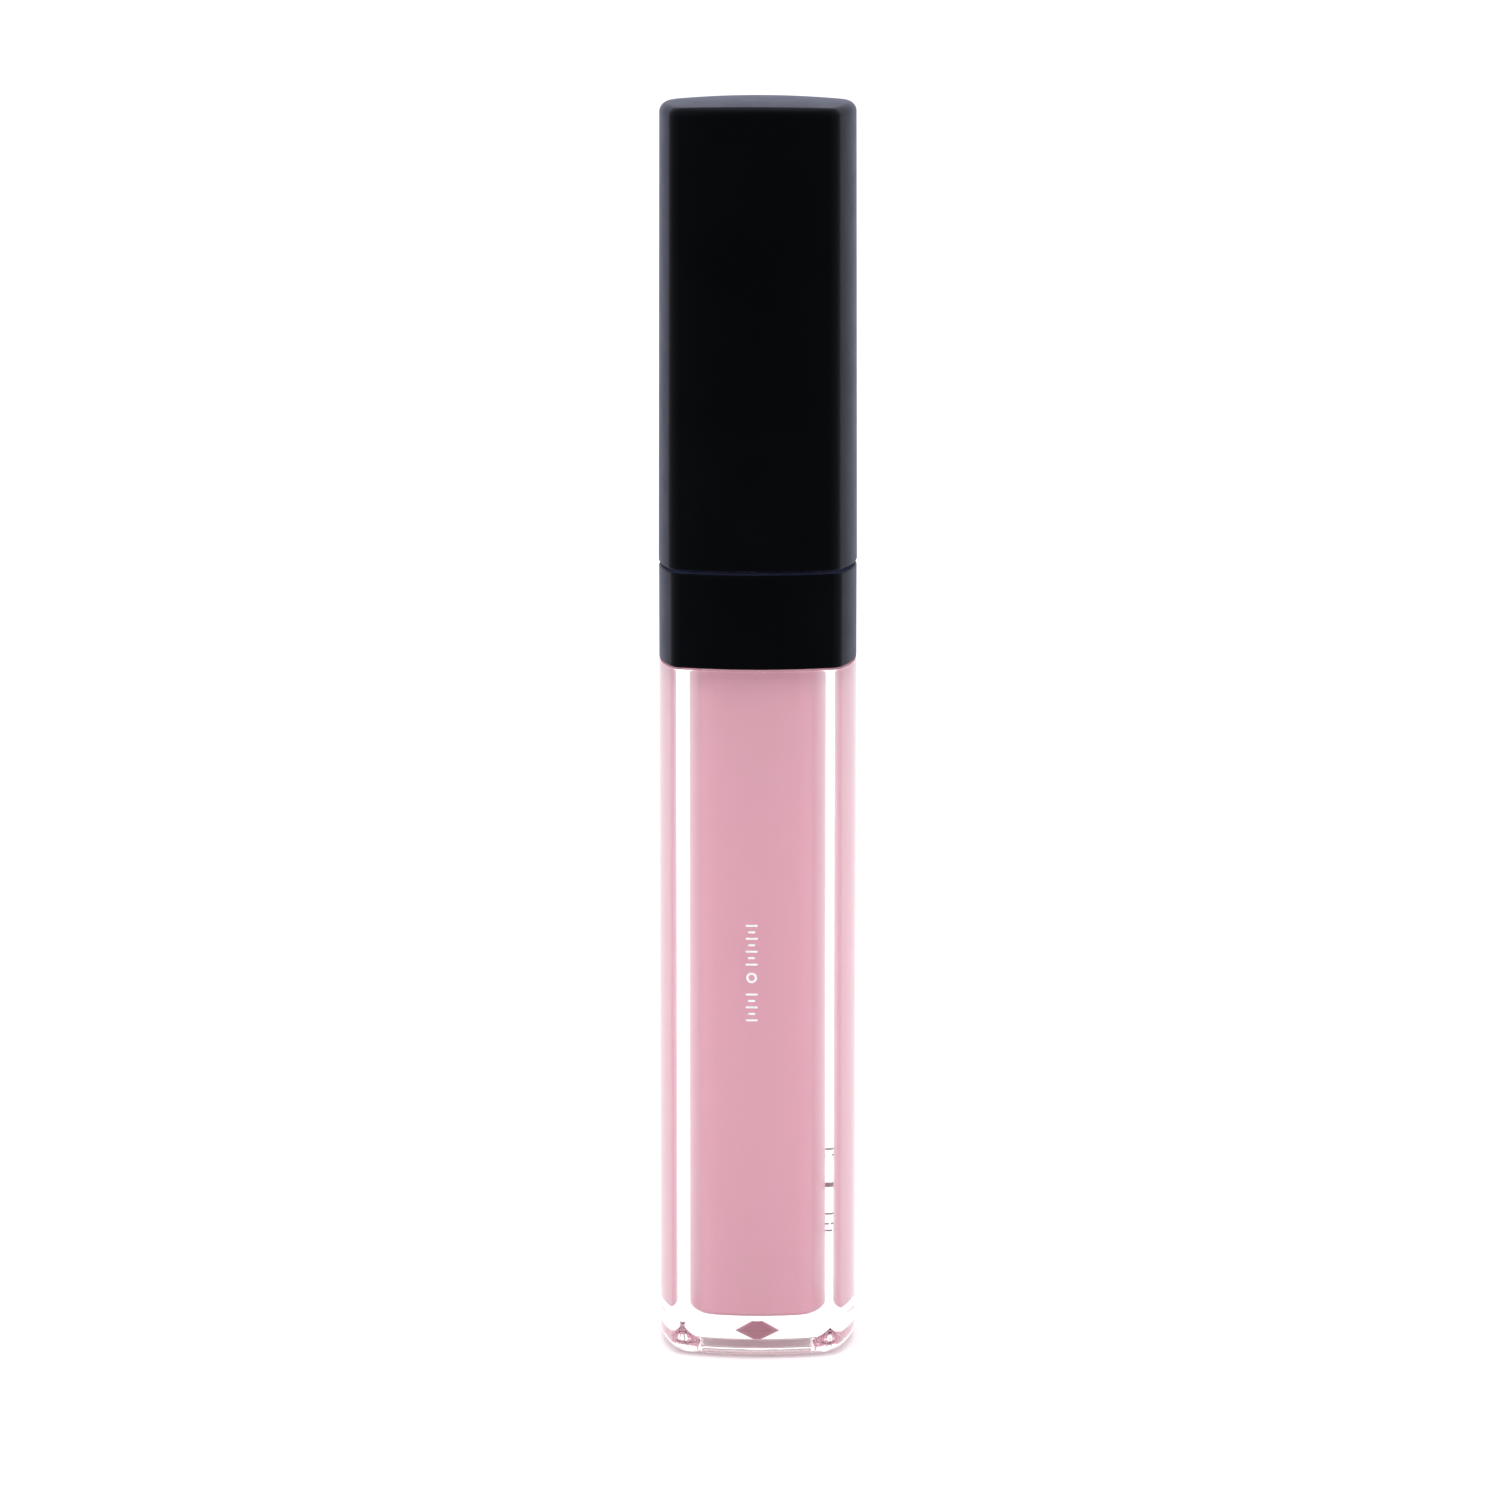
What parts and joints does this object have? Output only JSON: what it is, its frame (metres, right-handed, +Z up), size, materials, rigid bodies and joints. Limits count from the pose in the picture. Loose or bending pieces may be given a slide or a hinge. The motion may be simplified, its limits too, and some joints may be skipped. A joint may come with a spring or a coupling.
{
  "type": "lip gloss tube",
  "caption": "Square clear lip gloss bottle with a black collar and a tall black screw cap that carries a flocked doe-foot wand through a wiper.",
  "frame": {"origin": "centre of the bottle's base, on the surface it stands on", "axes": "+Z up along the tube from base to cap, -Y is the printed front face, +X is to the right seen from the front"},
  "size_m": [0.017, 0.017, 0.1076],
  "materials": {
    "clear_wall": "polished clear, thick wall",
    "pink_gloss": "wet, opaque milky pink liquid",
    "natural_insert": "natural waxy polyethylene",
    "soft_touch_black": "soft-touch matt coating",
    "black_insert": "moulded, satin",
    "foam_seal": "fine closed-cell foam",
    "flock": "short dense flock, wet with product"
  },
  "bodies": {
    "container": {"bottle": "clear_wall", "gloss_fill": "pink_gloss", "wiper": "natural_insert", "collar": "soft_touch_black"},
    "seal": {"seal_washer": "foam_seal"},
    "cap": {"cap_shell": "soft_touch_black", "inner_cap": "black_insert", "wand_rod": "black_insert", "applicator_core": "natural_insert", "applicator_flock": "flock"}
  },
  "joints": [
    {"name": "cap_lift", "type": "slide", "parent": "container", "child": "seal", "axis": [0, 0, 1], "range_m": [0, 0.085]},
    {"name": "cap_turn", "type": "hinge", "parent": "seal", "child": "cap", "pos_m": [0, 0, 0.075], "axis": [0, 0, 1], "range_deg": [0, 540]}
  ]
}
